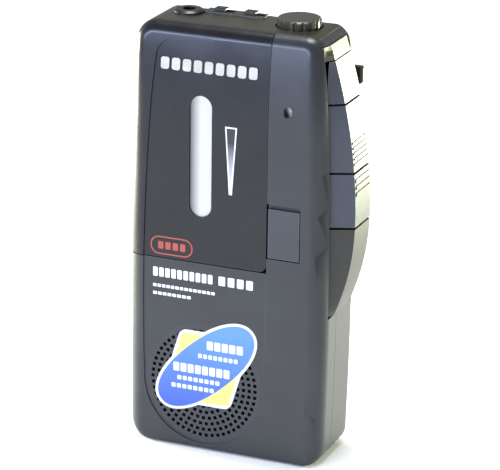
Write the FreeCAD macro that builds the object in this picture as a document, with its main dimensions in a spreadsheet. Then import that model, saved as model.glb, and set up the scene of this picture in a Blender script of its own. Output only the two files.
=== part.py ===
"""Microcassette dictation machine.

The machine stands on its foot: +Z is up, the lid and the loudspeaker face -Y, and the keys
are on the +X side. The origin is the middle of the foot of the overall box.
Lengths are millimetres.
"""

import FreeCAD, Part
import math
import os
import re

import Sketcher
from FreeCAD import Rotation, Vector

doc = FreeCAD.newDocument("DictationMachine")

# ---------------------------------------------------------------------------------------------
# Driving dimensions
# ---------------------------------------------------------------------------------------------

SIZES = {
    # case: front outline, seen from -Y
    "case_left": -32.45,
    "case_left_top": -31.1,
    "taper_level": 30.0,
    "case_right_foot": 25.5,
    "case_right_waist": 26.3,
    "case_right_top": 24.1,
    "waist_level": 60.0,
    "case_height": 122.0,
    "foot_left_round": 6.5,
    "foot_right_round": 5.0,
    "top_left_round": 6.5,
    "top_right_round": 6.0,
    # case: side outline, seen from +X
    "case_depth": 24.5,
    "nose_level": 96.0,
    "nose_round": 135.0,
    "rear_top_round": 5.0,
    "rear_foot_round": 6.0,
    # case: rounding of the front edges, and of the rear ones
    "side_round": 4.8,
    "brow_round": 3.8,
    "foot_round": 1.6,
    "rear_round": 3.8,
    "wall_thick": 1.8,
    "cover_joint": -2.5,
    "joint_gap": 0.15,
    "panel_step": 0.4,
    # cassette lid and its hinge
    "lid_right": 9.1,
    "lid_foot": 55.5,
    "lid_back": -7.75,
    "lid_gap": 0.3,
    "lid_thick": 1.7,
    "hinge_across": -31.05,
    "hinge_depth": -8.5,
    "hinge_pin_radius": 0.4,
    "window_across": -10.5,
    "window_low": 72.0,
    "window_high": 99.8,
    "window_radius": 3.3,
    "badge_left": -22.5,
    "badge_right": 5.7,
    "badge_low": 109.2,
    "badge_high": 112.9,
    # loudspeaker
    "speaker_across": -9.0,
    "speaker_up": 19.9,
    "grille_radius": 17.3,
    "grille_pitch": 1.72,
    "grille_hole": 1.0,
    # lid opener and microphone
    "opener_left": 9.7,
    "opener_right": 18.8,
    "opener_low": 60.0,
    "opener_high": 74.0,
    "opener_travel": 1.2,
    "mic_across": 14.8,
    "mic_up": 101.6,
    # side keys and the swelling that carries them
    "swell_reach": 32.17,
    "swell_level": 71.0,
    "swell_low": 43.5,
    "swell_high": 119.5,
    "swell_low_reach": 26.6,
    "swell_high_reach": 24.0,
    "swell_foot_lip": 25.2,
    "swell_head_lip": 23.3,
    "swell_front_lip": -8.2,
    "swell_front_edge": -5.0,
    "swell_rear_edge": 6.6,
    "swell_rear_lip": 8.4,
    "frame_back": 21.2,
    "frame_front": 22.4,
    "key_back": 24.3,
    "key_gap": 0.7,
    "wind_key_low": 69.3,
    "play_key_low": 84.8,
    "record_key_low": 103.7,
    "record_key_high": 115.7,
    "key_pivot_across": 23.35,
    "key_pin_radius": 0.5,
    "ridge_proud": 0.28,
    "record_stem_up": 110.7,
    "pause_face": 25.1,
    "pause_proud": 27.9,
    "pause_depth": 10.2,
    "pause_up": 108.0,
    "pause_travel": 3.0,
    # top plate, dial and switches
    "deck_left": -27.0,
    "deck_right": 21.4,
    "deck_front": -7.6,
    "deck_back": 8.0,
    "deck_thick": 1.6,
    "dial_across": 12.3,
    "dial_depth": 1.8,
    "dial_radius": 6.1,
    "dial_top": 124.4,
    "speed_knob_across": -12.2,
    "voice_knob_across": -3.4,
    "knob_depth": 6.0,
    "knob_travel": 3.0,
    "bezel_top": 122.5,
    "plug_radius": 1.8,
    "jack_radius": 3.0,
    "earphone_across": -20.5,
    "earphone_depth": 3.0,
    "side_jack_depth": 3.0,
    "microphone_jack_up": 100.0,
    "power_jack_up": 87.0,
    # cells
    "cell_radius": 7.25,
    "cell_length": 50.5,
    "cell_low": 5.7,
    "left_cell_across": -23.1,
    "right_cell_across": -8.4,
    "cell_depth": 3.15,
    "door_left": -29.0,
    "door_right": 0.6,
    "door_low": 9.9,
    "door_high": 53.0,
    "door_pivot_up": 10.4,
    "door_pivot_depth": 11.3,
    # microcassette
    "tape_left": -27.5,
    "tape_right": 5.5,
    "tape_low": 61.0,
    "tape_high": 111.0,
    "tape_front": -9.4,
    "tape_back": -1.4,
    "tape_wall": 1.1,
    "reel_across": -11.3,
    "take_up_up": 73.3,
    "supply_up": 98.7,
    "take_up_pack": 8.0,
    "supply_pack": 10.5,
    "hub_radius": 4.4,
    # mechanism
    "plate_front": -0.9,
    "plate_back": -0.1,
    "capstan_across": 3.0,
    "capstan_up": 69.5,
    "capstan_radius": 0.75,
    "flywheel_radius": 10.0,
    "flywheel_front": 0.4,
    "flywheel_back": 3.4,
    "motor_across": 13.7,
    "motor_up": 47.0,
    "motor_radius": 7.0,
    "pulley_radius": 2.5,
    "idler_radius": 3.0,
    "turntable_radius": 4.0,
    "wheel_gap": 0.15,
    "head_travel": 2.2,
    "roller_radius": 2.5,
    "roller_across": 8.6,
    "screw_radius": 1.0,
}

sheet = doc.addObject("Spreadsheet::Sheet", "Sizes")
for row, (alias, value) in enumerate(SIZES.items(), 1):
    sheet.set(f"A{row}", alias)
    sheet.set(f"B{row}", str(value))
    sheet.setAlias(f"B{row}", alias)
doc.recompute()

WORDS = re.compile(r"[a-z]+(?:_[a-z]+)+")
nodes = []


def size(alias):
    """The sheet's value of one driving dimension."""
    return float(getattr(sheet, alias))


def bind(thing, prop, text):
    """Binds a property to a formula written in the sheet's own words."""
    thing.setExpression(prop, WORDS.sub(lambda found: "Sizes." + found.group(0), str(text)))


def node(thing, label):
    """Marks a finished sub-part: its label names its file."""
    thing.Label = label
    nodes.append(thing)
    return thing


def place(thing, at, turn=None):
    """Puts a thing at a point given as three formulas, turned from +Z towards a named side."""
    turns = {
        "front": Rotation(Vector(1, 0, 0), 90),
        "rear": Rotation(Vector(1, 0, 0), -90),
        "right": Rotation(Vector(0, 1, 0), 90),
        "left": Rotation(Vector(0, 1, 0), -90),
    }
    if turn:
        thing.Placement.Rotation = turns[turn]
    for axis, text in zip("xyz", at):
        bind(thing, f"Placement.Base.{axis}", text)
    return thing


# ---------------------------------------------------------------------------------------------
# Primitives, sketches and bodies bound to the sheet
# ---------------------------------------------------------------------------------------------


def block(x, y, z, name="Block"):
    """A box from three (low, high) pairs of formulas."""
    box = doc.addObject("Part::Box", name)
    for prop, (low, high) in zip(("Length", "Width", "Height"), (x, y, z)):
        bind(box, prop, f"({high}) - ({low})")
    return place(box, (x[0], y[0], z[0]))


def rod(radius, length, at, turn=None, name="Rod"):
    """A cylinder that starts at a point and runs towards a side."""
    cylinder = doc.addObject("Part::Cylinder", name)
    bind(cylinder, "Radius", radius)
    bind(cylinder, "Height", length)
    return place(cylinder, at, turn)


def cut(base, *tools):
    """The base less every tool."""
    for tool in tools:
        made = doc.addObject("Part::Cut", "Cut")
        made.Base = base
        made.Tool = tool
        base = made
    return base


def fuse(*pieces):
    """All the pieces as one solid."""
    made = doc.addObject("Part::MultiFuse", "Fuse")
    made.Shapes = list(pieces)
    return made


def group(*pieces):
    """Like pieces that stay separate solids in one node."""
    made = doc.addObject("Part::Compound", "Group")
    made.Links = list(pieces)
    return made


def feature(shape, name="Shell"):
    """A shape made with Part's own functions, as an object of the document."""
    made = doc.addObject("Part::Feature", name)
    made.Shape = shape
    return made


def pin_point(sketch, geometry, which, x, y):
    """Holds one point of a sketch at x, y; a plain zero puts it on the axis itself."""
    for kind, axis, text in (("DistanceX", -2, x), ("DistanceY", -1, y)):
        if str(text) == "0":
            sketch.addConstraint(Sketcher.Constraint("PointOnObject", geometry, which, axis))
        else:
            index = sketch.addConstraint(Sketcher.Constraint(kind, -1, 1, geometry, which, 1.0))
            bind(sketch, f"Constraints[{index}]", text)


def polygon(sketch, points):
    """A closed outline whose every corner is bound to its own pair of formulas."""
    count = len(points)
    first = sketch.GeometryCount
    start = [Vector(math.cos(k * 2 * math.pi / count), math.sin(k * 2 * math.pi / count), 0)
             for k in range(count)]
    for k in range(count):
        sketch.addGeometry(Part.LineSegment(start[k], start[(k + 1) % count]), False)
    for k in range(count):
        sketch.addConstraint(Sketcher.Constraint("Coincident", first + k, 2,
                                                 first + (k + 1) % count, 1))
    for k, (x, y) in enumerate(points):
        pin_point(sketch, first + k, 1, x, y)


def circle(sketch, x, y, radius):
    """A circle bound to a centre and a radius."""
    index = sketch.addGeometry(Part.Circle(Vector(1, 1, 0), Vector(0, 0, 1), 1.0), False)
    pin_point(sketch, index, 3, x, y)
    bound = sketch.addConstraint(Sketcher.Constraint("Radius", index, 1.0))
    bind(sketch, f"Constraints[{bound}]", radius)


def sketch_on(body, role, offset=None):
    """A sketch on one of the body's own origin planes, moved along the plane's normal."""
    sketch = body.newObject("Sketcher::SketchObject", "Sketch")
    planes = {item.Role: item for item in body.Origin.OriginFeatures}
    sketch.AttachmentSupport = [(planes[role], "")]
    sketch.MapMode = "FlatFace"
    if offset is not None:
        bind(sketch, "AttachmentOffset.Base.z", offset)
    return sketch


def turned(name, profile, at, turn=None):
    """A lathe-turned body: a closed profile of (radius, height) corners, spun about its axis."""
    body = doc.addObject("PartDesign::Body", name)
    sketch = sketch_on(body, "XZ_Plane")
    polygon(sketch, profile)
    spin = body.newObject("PartDesign::Revolution", "Spin")
    spin.Profile = sketch
    spin.ReferenceAxis = (sketch, ["V_Axis"])
    spin.Angle = 360
    return place(body, at, turn)


def plate(name, corners, front, back, holes=()):
    """A flat plate facing -Y between two depths, with round holes as (x, z, radius)."""
    body = doc.addObject("PartDesign::Body", name)
    sketch = sketch_on(body, "XZ_Plane", f"-({back})")
    polygon(sketch, corners)
    for hole in holes:
        circle(sketch, *hole)
    pad = body.newObject("PartDesign::Pad", "Pad")
    pad.Profile = sketch
    bind(pad, "Length", f"({back}) - ({front})")
    return body


def polar(body, feature_made, count):
    """Repeats a body's feature round its own vertical axis."""
    pattern = body.newObject("PartDesign::PolarPattern", "Pattern")
    pattern.Originals = [feature_made]
    pattern.Axis = ({item.Role: item for item in body.Origin.OriginFeatures}["Z_Axis"], [""])
    pattern.Angle = 360
    pattern.Occurrences = count
    body.Tip = pattern


def rectangle(x0, x1, z0, z1):
    """The four corners of an upright rectangle."""
    return [(x0, z0), (x1, z0), (x1, z1), (x0, z1)]


# ---------------------------------------------------------------------------------------------
# Case envelope: the front outline and the side outline, each carried through the other
# ---------------------------------------------------------------------------------------------

FRONT = -size("case_depth") / 2
REAR = size("case_depth") / 2
TOP = size("case_height")
FAR = 80.0  # longer than the machine in any direction


def arc(start, middle, end):
    return Part.Arc(start, middle, end).toShape()


def line(start, end):
    return Part.LineSegment(start, end).toShape()


def front_outline(inset):
    """The case seen from the front: straight left side, bowed right side, a rounded rear rim."""
    low, high, taper = inset, TOP - inset, size("taper_level")
    left, left_top = (size(name) + inset for name in ("case_left", "case_left_top"))
    right = [size(name) - inset for name in ("case_right_foot", "case_right_waist", "case_right_top")]
    level = (low, size("waist_level"), high)
    foot, waist, shoulder = (Vector(x, FRONT - 1, z) for x, z in zip(right, level))
    heel, crown = Vector(left, FRONT - 1, low), Vector(left_top, FRONT - 1, high)
    straight_top = Vector(left, FRONT - 1, taper)
    # The left side is upright to the taper level, then an arc that starts upright too.
    lean, rise = left_top - left, high - taper
    bend = (lean * lean + rise * rise) / (2 * lean)
    half = math.asin(rise / bend) / 2
    bow = straight_top + Vector(bend * (1 - math.cos(half)), 0, bend * math.sin(half))
    wire = Part.Wire([
        line(heel, foot),
        arc(foot, waist, shoulder),
        line(shoulder, crown),
        arc(crown, bow, straight_top),
        line(straight_top, heel),
    ])
    solid = Part.Face(wire).extrude(Vector(0, REAR - inset - FRONT + 1, 0))
    corners = (
        (left, low, size("foot_left_round")),
        (right[0], low, size("foot_right_round")),
        (left_top, high, size("top_left_round")),
        (right[2], high, size("top_right_round")),
    )
    for x, z, radius in corners:
        edge = min(solid.Edges, key=lambda e: math.hypot(e.CenterOfMass.x - x, e.CenterOfMass.z - z))
        solid = solid.makeFillet(radius - inset, [edge])
    rear_rim = [edge for edge in solid.Edges if edge.BoundBox.YMin > REAR - inset - 0.01]
    return solid.makeFillet(size("rear_round") - inset, rear_rim)


def side_outline(inset):
    """The outline seen from the side: the nose leans back at the top, the rear corners are round."""
    front, rear, low, high = FRONT + inset, REAR - inset, inset, TOP - inset
    bend = size("nose_round") - inset
    start = size("nose_level")
    sweep = math.asin((high - start) / bend)

    def nose(angle):
        return Vector(-FAR / 2, front + bend * (1 - math.cos(angle)), start + bend * math.sin(angle))

    def rear_corner(radius, centre_z, sign):
        centre = Vector(-FAR / 2, rear - radius, centre_z)
        return [centre + Vector(0, radius * math.sin(t), sign * radius * math.cos(t))
                for t in (0, math.pi / 4, math.pi / 2)]

    top = rear_corner(size("rear_top_round") - inset, high - size("rear_top_round") + inset, 1)
    foot = rear_corner(size("rear_foot_round") - inset, low + size("rear_foot_round") - inset, -1)
    toe = Vector(-FAR / 2, front, low)
    wire = Part.Wire([
        line(toe, nose(0)),
        arc(nose(0), nose(sweep / 2), nose(sweep)),
        line(nose(sweep), top[0]),
        arc(*top),
        line(top[2], foot[2]),
        arc(foot[2], foot[1], foot[0]),
        line(foot[0], toe),
    ])
    return Part.Face(wire).extrude(Vector(FAR, 0, 0))


def front_rim(solid):
    """Every edge where the front face meets the sides, as {edge number: edge}."""
    faces = []
    for face in solid.Faces:
        low_u, high_u, low_v, high_v = face.ParameterRange
        facing = face.normalAt((low_u + high_u) / 2, (low_v + high_v) / 2)
        if facing.y < -0.9:
            faces.append(face)
    seen = {}
    for face in faces:
        for edge in face.Edges:
            seen[edge.hashCode()] = seen.get(edge.hashCode(), 0) + 1
    return {number: edge for number, edge in enumerate(solid.Edges, 1)
            if seen.get(edge.hashCode()) == 1}


def envelope(inset=0.0):
    """The case's outer skin, or the same skin drawn in by an inset."""
    block_shape = front_outline(inset).common(side_outline(inset)).Solids[0]
    base = feature(block_shape, "EnvelopeBase")
    rounded = doc.addObject("Part::Fillet", "EnvelopeRounded")
    rounded.Base = base
    rows = []
    for number, edge in front_rim(base.Shape).items():
        ends = []
        for point in (edge.valueAt(edge.FirstParameter), edge.valueAt(edge.LastParameter)):
            if point.z < inset + 0.5:
                ends.append(max(size("foot_round") - inset, 0.4))
            elif point.z > TOP - inset - 0.5:
                ends.append(size("brow_round") - inset)
            else:
                ends.append(size("side_round") - inset)
        rows.append((number, *ends))
    rounded.Edges = rows
    doc.recompute()
    return rounded.Shape


def solid_box(x, y, z):
    """A plain box shape from three (low, high) pairs of numbers."""
    return Part.makeBox(x[1] - x[0], y[1] - y[0], z[1] - z[0], Vector(x[0], y[0], z[0]))


def upright(radius, x, y, z):
    """A cylinder shape along Z between two heights."""
    return Part.makeCylinder(radius, z[1] - z[0], Vector(x, y, z[0]), Vector(0, 0, 1))


def through(radius, x, y, z):
    """A cylinder shape along Y between two depths."""
    return Part.makeCylinder(radius, y[1] - y[0], Vector(x, y[0], z), Vector(0, 1, 0))


skin = envelope()
cavity = envelope(size("wall_thick"))
lid_cavity = envelope(size("lid_thick"))
panel_floor = envelope(size("panel_step"))


def panel_prism():
    """The styling panel: a shallow step that runs from the lid's top to a half round at the speaker."""
    centre_x, centre_z = size("speaker_across"), size("speaker_up")
    right = size("lid_right")
    radius = right - centre_x
    left_foot = Vector(centre_x - radius, FRONT - 1, centre_z)
    left_waist = Vector(left_foot.x - 0.1, FRONT - 1, 62.0)
    left_top = Vector(left_foot.x + 3.0, FRONT - 1, 112.8)
    corner = [left_top + Vector(1.5, 0, 3.5), left_top + Vector(5.4, 0, 4.9)]
    top_right = Vector(right, FRONT - 1, 118.9)
    top_middle = (corner[1] + top_right) / 2 + Vector(0, 0, 0.35)
    right_foot = Vector(right, FRONT - 1, centre_z)
    wire = Part.Wire([
        arc(left_foot, left_waist, left_top),
        arc(left_top, corner[0], corner[1]),
        arc(corner[1], top_middle, top_right),
        line(top_right, right_foot),
        arc(right_foot, Vector(centre_x, FRONT - 1, centre_z - radius), left_foot),
    ])
    return Part.Face(wire).extrude(Vector(0, size("case_depth") / 3, 0))


panel = panel_prism()
styled_skin = skin.cut(panel.cut(panel_floor))

# ---------------------------------------------------------------------------------------------
# Side swelling that carries the keys
# ---------------------------------------------------------------------------------------------


def swell_reach(level, proud=0.0):
    """How far out the swelling stands at a height: two arcs that meet, tangent, at its widest."""
    rise = level - size("swell_level")
    end, reach = ("swell_high", "swell_high_reach") if rise > 0 else ("swell_low", "swell_low_reach")
    drop = size("swell_reach") - size(reach)
    span = size(end) - size("swell_level")
    bend = (drop * drop + span * span) / (2 * drop)
    return size("swell_reach") + proud - (bend - math.sqrt(bend * bend - rise * rise))


def swelling(proud=0.0):
    """The swelling's solid: one section carried up the side, its outer edge following the arcs."""
    low, high = size("swell_low"), size("swell_high")
    sections = []
    levels = 9
    for k in range(levels):
        level = low + (high - low) * k / (levels - 1)
        share = (level - low) / (high - low)
        lip = size("swell_foot_lip") + (size("swell_head_lip") - size("swell_foot_lip")) * share
        out = swell_reach(level, proud)
        corners = [
            Vector(size("frame_front") - 0.2, size("swell_front_lip") - proud, level),
            Vector(lip, size("swell_front_lip") - proud, level),
            Vector(out, size("swell_front_edge"), level),
            Vector(out, size("swell_rear_edge"), level),
            Vector(lip, size("swell_rear_lip") + proud, level),
            Vector(size("frame_front") - 0.2, size("swell_rear_lip") + proud, level),
        ]
        sections.append(Part.makePolygon(corners + corners[:1]))
    return Part.makeLoft(sections, True, False)


swell = swelling()
ridge_swell = swelling(size("ridge_proud"))
key_slot = solid_box((size("frame_back") - 0.3, FAR),
                     (size("swell_front_lip") - 0.35, size("swell_rear_lip") + 0.35),
                     (size("swell_low") - 0.15, size("swell_high") + 0.15))

# ---------------------------------------------------------------------------------------------
# Covers
# ---------------------------------------------------------------------------------------------

CASE_SCREWS = ((19.2, 8.6), (18.2, 106.5), (-27.2, 115.0), (3.6, 44.0))  # x, z of each screw
deck_box = solid_box((size("deck_left") - 0.1, size("deck_right") + 0.1),
                     (size("deck_front") - 0.1, size("deck_back") + 0.1),
                     (TOP - size("wall_thick") - 0.2, FAR * 2))
lid_zone = solid_box((-FAR, size("lid_right") + size("lid_gap")),
                     (-FAR, size("lid_back") + size("joint_gap")),
                     (size("lid_foot") - size("lid_gap"), FAR * 2))
HINGE = (size("hinge_across"), size("hinge_depth"))
KNUCKLES = ((60.0, 64.5), (91.5, 96.0))  # heights of the case's two hinge knuckles


def front_cover():
    """Front half of the case: the speaker front, the band beside the lid and the screw bosses."""
    joint = size("cover_joint")
    shell = styled_skin.cut(cavity)
    shell = shell.common(solid_box((-FAR, FAR), (-FAR, joint), (-1, FAR * 2)))
    bosses = []
    for x, z in CASE_SCREWS:
        front = FRONT + size("wall_thick") - 0.3
        if x < size("lid_right") and z > size("lid_foot"):
            front = size("lid_back") + 0.4
        boss = through(2.6, x, (front, joint), z)
        bosses.append(boss.common(skin))
    ring = through(size("grille_radius") + 1.3, size("speaker_across"),
                   (FRONT + 1.5, FRONT + 5.0), size("speaker_up"))
    ring = ring.cut(through(size("grille_radius") + 0.3, size("speaker_across"),
                            (FRONT, REAR), size("speaker_up"))).common(skin)
    mic_tube = through(3.3, size("mic_across"), (FRONT + 1.5, FRONT + 6.0), size("mic_up"))
    shell = shell.fuse([*bosses, ring, mic_tube])
    shell = shell.cut(lid_zone)
    shell = shell.cut(upright(1.5, *HINGE, (size("lid_foot") - 0.3, TOP - 2.0)))
    knuckles = []
    for low, high in KNUCKLES:
        barrel = upright(1.0, *HINGE, (low, high))
        web = solid_box((HINGE[0] - 0.95, HINGE[0] + 0.6), (HINGE[1], HINGE[1] + 2.0), (low, high))
        knuckles.append(barrel.fuse(web).common(skin))
    shell = shell.fuse(knuckles)
    for low, high in KNUCKLES:
        shell = shell.cut(upright(size("hinge_pin_radius") + 0.03, *HINGE, (low - 1, high + 1)))
    for x, z in CASE_SCREWS:
        shell = shell.cut(through(size("screw_radius") + 0.03, x, (FRONT + 3.6, REAR), z))
    grille_hole = through(size("grille_radius") + 0.05, size("speaker_across"),
                          (FRONT - 1, FRONT + 3), size("speaker_up"))
    slot = solid_box((size("opener_left") - 0.3, size("opener_right") + 0.3),
                     (FRONT - 1, FRONT + 1.2),
                     (size("opener_low") - 0.3, size("opener_high") + size("opener_travel") + 0.3))
    stem_slot = solid_box((size("opener_left") + 0.9, size("opener_left") + 4.3),
                          (FRONT, FRONT + 3),
                          (size("opener_low") + 3.7, size("opener_low") + 10.3 + size("opener_travel")))
    mic_bore = through(2.9, size("mic_across"), (FRONT + size("wall_thick"), REAR), size("mic_up"))
    mic_hole = through(1.2, size("mic_across"), (FRONT - 1, FRONT + 4), size("mic_up") - 0.4)
    mic_top = through(1.2, size("mic_across"), (FRONT - 1, FRONT + 4), size("mic_up") + 0.4)
    shell = shell.cut([grille_hole, slot, stem_slot, mic_bore, mic_hole, mic_top, key_slot, deck_box])
    return max(shell.Solids, key=lambda part: part.Volume)


def rear_cover():
    """Rear half of the case: screw posts, the cell door's opening, and the side jacks' holes."""
    joint = size("cover_joint") + size("joint_gap")
    shell = skin.cut(cavity).common(solid_box((-FAR, FAR), (joint, FAR), (-1, FAR * 2)))
    posts = [through(2.6, x, (joint, REAR - 1.2), z).common(skin) for x, z in CASE_SCREWS]
    ledge = solid_box((size("deck_left"), size("deck_right") - 1.0),
                      (size("deck_back") - 1.2, size("deck_back") + 2.6),
                      (TOP - size("deck_thick") - 0.9, TOP - size("deck_thick"))).common(skin)
    tools = [key_slot, deck_box]
    for x, z in CASE_SCREWS:
        tools.append(through(size("screw_radius") + 0.1, x, (FRONT, REAR), z))
        tools.append(through(2.0, x, (REAR - 2.2, REAR + 1), z))
    door = solid_box((size("door_left") - 0.3, size("door_right") + 0.3), (REAR - 2.5, REAR + 1),
                     (size("door_low") - 0.3, size("door_high") + 0.3))
    pivot = Vector(size("door_left") - 0.3, size("door_pivot_depth"), size("door_pivot_up"))
    relief = Part.makeCylinder(1.5, size("door_right") - size("door_left") + 0.6, pivot, Vector(1, 0, 0))
    pin_bore = Part.makeCylinder(size("hinge_pin_radius") + 0.03,
                                 size("door_right") - size("door_left") + 4.6,
                                 pivot - Vector(1.2, 0, 0), Vector(1, 0, 0))
    tools += [door, relief, pin_bore]
    for height in (size("microphone_jack_up"), size("power_jack_up")):
        tools.append(Part.makeCylinder(size("jack_radius") + 0.1, 8.0,
                                       Vector(size("case_left") - 1, size("side_jack_depth"), height),
                                       Vector(1, 0, 0)))
    tools.append(solid_box((size("pause_face") - 4, FAR), (size("pause_depth") - 0.5, size("pause_depth") + 0.5),
                           (size("pause_up") - 1.5 - size("pause_travel"), size("pause_up") + 1.5)))
    made = shell.fuse(posts).cut(tools).fuse(ledge)
    return max(made.Solids, key=lambda part: part.Volume)


node(feature(front_cover()), "front_cover")
node(feature(rear_cover()), "rear_cover")


def speaker_grille():
    """Loudspeaker front: a disc pierced by rings of small square holes, one wall thick."""
    x, z = size("speaker_across"), size("speaker_up")
    front = FRONT + size("panel_step")
    disc = through(size("grille_radius"), x, (front, FRONT + size("wall_thick")), z)
    hole = size("grille_hole")
    pitch = size("grille_pitch")
    holes = [solid_box((x - hole / 2, x + hole / 2), (front - 1, FRONT + 3), (z - hole / 2, z + hole / 2))]
    rings = int(size("grille_radius") / pitch - 0.4)
    for ring in range(1, rings + 1):
        radius = ring * pitch
        count = 6 * ring
        for k in range(count):
            angle = 360.0 * k / count
            pierced = solid_box((x + radius - hole / 2, x + radius + hole / 2), (front - 1, FRONT + 3),
                                (z - hole / 2, z + hole / 2))
            pierced.rotate(Vector(x, 0, z), Vector(0, 1, 0), angle)
            holes.append(pierced)
    return disc.cut(Part.makeCompound(holes))


node(feature(speaker_grille()), "speaker_grille")


def top_plate():
    """Top plate: dark inset deck with the dial's recess, a jack hole and the switches' bezel."""
    plate_box = solid_box((size("deck_left"), size("deck_right")), (size("deck_front"), size("deck_back")),
                          (TOP - size("deck_thick") + 0.1, FAR * 2))
    deck = skin.common(plate_box)
    knob_y = size("knob_depth")
    bezel = solid_box((size("speed_knob_across") - 4.2, size("voice_knob_across") + 4.4),
                      (knob_y - 2.4, size("deck_back") - 0.1), (TOP - 1.0, size("bezel_top")))
    upper = [edge for edge in bezel.Edges if edge.CenterOfMass.z > size("bezel_top") - 0.01]
    deck = deck.fuse(bezel.makeFillet(0.3, upper))
    tools = [upright(size("dial_radius") + 0.45, size("dial_across"), size("dial_depth"), (TOP - 3, TOP + 3)),
             upright(size("jack_radius") + 0.1, size("earphone_across"), size("earphone_depth"),
                     (TOP - 3, TOP + 3))]
    for x in (size("speed_knob_across"), size("voice_knob_across")):
        tools.append(solid_box((x - 1.1, x + 1.1 + size("knob_travel")), (knob_y - 1.0, knob_y + 1.0),
                               (TOP - 3, TOP + 3)))
    return deck.cut(tools)


node(feature(top_plate()), "top_plate")

# ---------------------------------------------------------------------------------------------
# Key frame, keys and their pins
# ---------------------------------------------------------------------------------------------

KEYS = {
    "wind_key": ("wind_key_low", "play_key_low"),
    "play_key": ("play_key_low", "record_key_low"),
    "record_key": ("record_key_low", "record_key_high"),
}
GAP = size("key_gap") / 2
EARS = ((-3.3, -1.9), (3.9, 5.3))  # depths of a rocker's two ears
LAMP_LOW, LAMP_HIGH = 116.7, 118.3  # levels of the record lamp's lens


def pivot_level(key):
    low, high = (size(name) for name in KEYS[key])
    return (low + high) / 2


def key_frame():
    """Fixed frame of the swelling: closed foot and head, a back wall, and ears for the rockers."""
    low, high = size("wind_key_low"), size("record_key_high")
    head = swell.common(solid_box((0, FAR), (-FAR, FAR), (high, FAR * 2)))
    foot = swell.common(solid_box((0, FAR), (-FAR, FAR), (-1, low - GAP)))
    hollow = solid_box((size("frame_front") - 1, size("frame_front") + 4.0), (-4.5, 5.5),
                       (size("swell_low") + 5, low - 3.5))
    wall = solid_box((size("frame_back"), size("frame_front")),
                     (size("swell_front_lip") + 0.2, size("swell_rear_lip") - 0.2),
                     (size("swell_low") + 0.7, size("swell_high") - 0.2))
    pieces = [head, foot.cut(hollow)]
    for key in ("wind_key", "play_key"):
        level = pivot_level(key)
        for low_y, high_y in ((EARS[0][0] - 1.8, EARS[0][0] - 0.2), (EARS[1][1] + 0.2, EARS[1][1] + 1.8)):
            pieces.append(solid_box((size("frame_front") - 0.1, size("key_back") - 0.35), (low_y, high_y),
                                    (level - 1.6, level + 1.6)))
    frame = wall.fuse(pieces)
    stem_level = size("record_stem_up")
    tools = [solid_box((0, size("frame_front") + 0.5), (-1.2, 1.8), (stem_level - 1.5, stem_level + 1.5))]
    for key in ("wind_key", "play_key"):
        level = pivot_level(key)
        tools.append(Part.makeCylinder(size("key_pin_radius") + 0.02, 14.0,
                                       Vector(size("key_pivot_across"), -6.0, level), Vector(0, 1, 0)))
        tools.append(solid_box((0, size("frame_front") + 0.5), (EARS[0][0] - 0.1, EARS[1][1] + 0.1),
                               (level - 1.6, level + 1.6)))
    tools.append(solid_box((20.0, 26.2), (size("swell_front_lip") + 0.6, size("swell_front_edge") + 0.2),
                           (LAMP_LOW - 0.1, LAMP_HIGH + 0.1)))
    return frame.cut(tools)


def key_shape(key, ridges=()):
    """One key: a slab of the swelling, with ridges that stand a little proud of it."""
    low, high = (size(name) for name in KEYS[key])
    slab = solid_box((size("key_back"), FAR), (-FAR, FAR), (low + GAP, high - GAP))
    shape = swell.common(slab)
    bars = []
    for level, thick in ridges:
        bar = solid_box((size("key_back") + 2, FAR), (size("swell_front_edge") + 0.6,
                        size("swell_rear_edge") - 0.6), (level - thick / 2, level + thick / 2))
        bars.append(ridge_swell.common(bar))
    if bars:
        shape = shape.fuse(bars)
    return shape


def rocker(key, ridges):
    """A rocking key: the cap with two ears that hang on its pin."""
    level = pivot_level(key)
    across = size("key_pivot_across")
    ears = []
    for low_y, high_y in EARS:
        ear = solid_box((across, size("key_back") + 0.5), (low_y, high_y), (level - 0.95, level + 0.95))
        round_end = Part.makeCylinder(0.95, high_y - low_y, Vector(across, low_y, level), Vector(0, 1, 0))
        ears.append(ear.fuse(round_end))
    bore = Part.makeCylinder(size("key_pin_radius") + 0.05, FAR, Vector(across, -FAR / 2, level),
                             Vector(0, 1, 0))
    return key_shape(key, ridges).fuse(ears).cut(bore)


node(feature(key_frame()), "key_frame")

FINE_RIDGES = [(size("play_key_low") + 2.4 + 1.45 * k, 0.6) for k in range(5)]
BROAD_RIDGES = [(size("play_key_low") - 2.2 - 1.9 * k, 1.0) for k in range(3)]
node(feature(rocker("play_key", FINE_RIDGES)), "play_key")
node(feature(rocker("wind_key", BROAD_RIDGES)), "wind_key")

stem_level = size("record_stem_up")
stem = solid_box((size("frame_back") - 1.5, size("key_back") + 0.5), (-0.9, 1.5),
                 (stem_level - 1.2, stem_level + 1.2))
node(feature(key_shape("record_key").fuse(stem)), "record_key")

pins = []
for key, (low_name, high_name) in list(KEYS.items())[:2]:
    middle = f"({low_name} + {high_name}) / 2"
    pins.append(rod("key_pin_radius", "11.4", ("key_pivot_across", "-5.0", middle), "rear"))
node(group(*pins), "key_pivot_pins")

leaves = []
for low_name, high_name in list(KEYS.values())[:2]:
    middle = f"({low_name} + {high_name}) / 2"
    leaves.append(block(("frame_front", "frame_front + 0.2"), ("0", "2"),
                        (f"{middle} - 6", f"{middle} - 2.2")))
    leaves.append(block(("frame_front", "frame_front + 0.2"), ("0", "2"),
                        (f"{middle} + 2.2", f"{middle} + 6")))
node(group(*leaves), "key_spring_leaves")

lamp_box = solid_box((21.0, 26.0), (size("swell_front_lip") + 0.7, size("swell_front_edge") + 0.1),
                     (LAMP_LOW, LAMP_HIGH))
node(feature(swell.common(lamp_box)), "record_lamp_lens")

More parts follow.
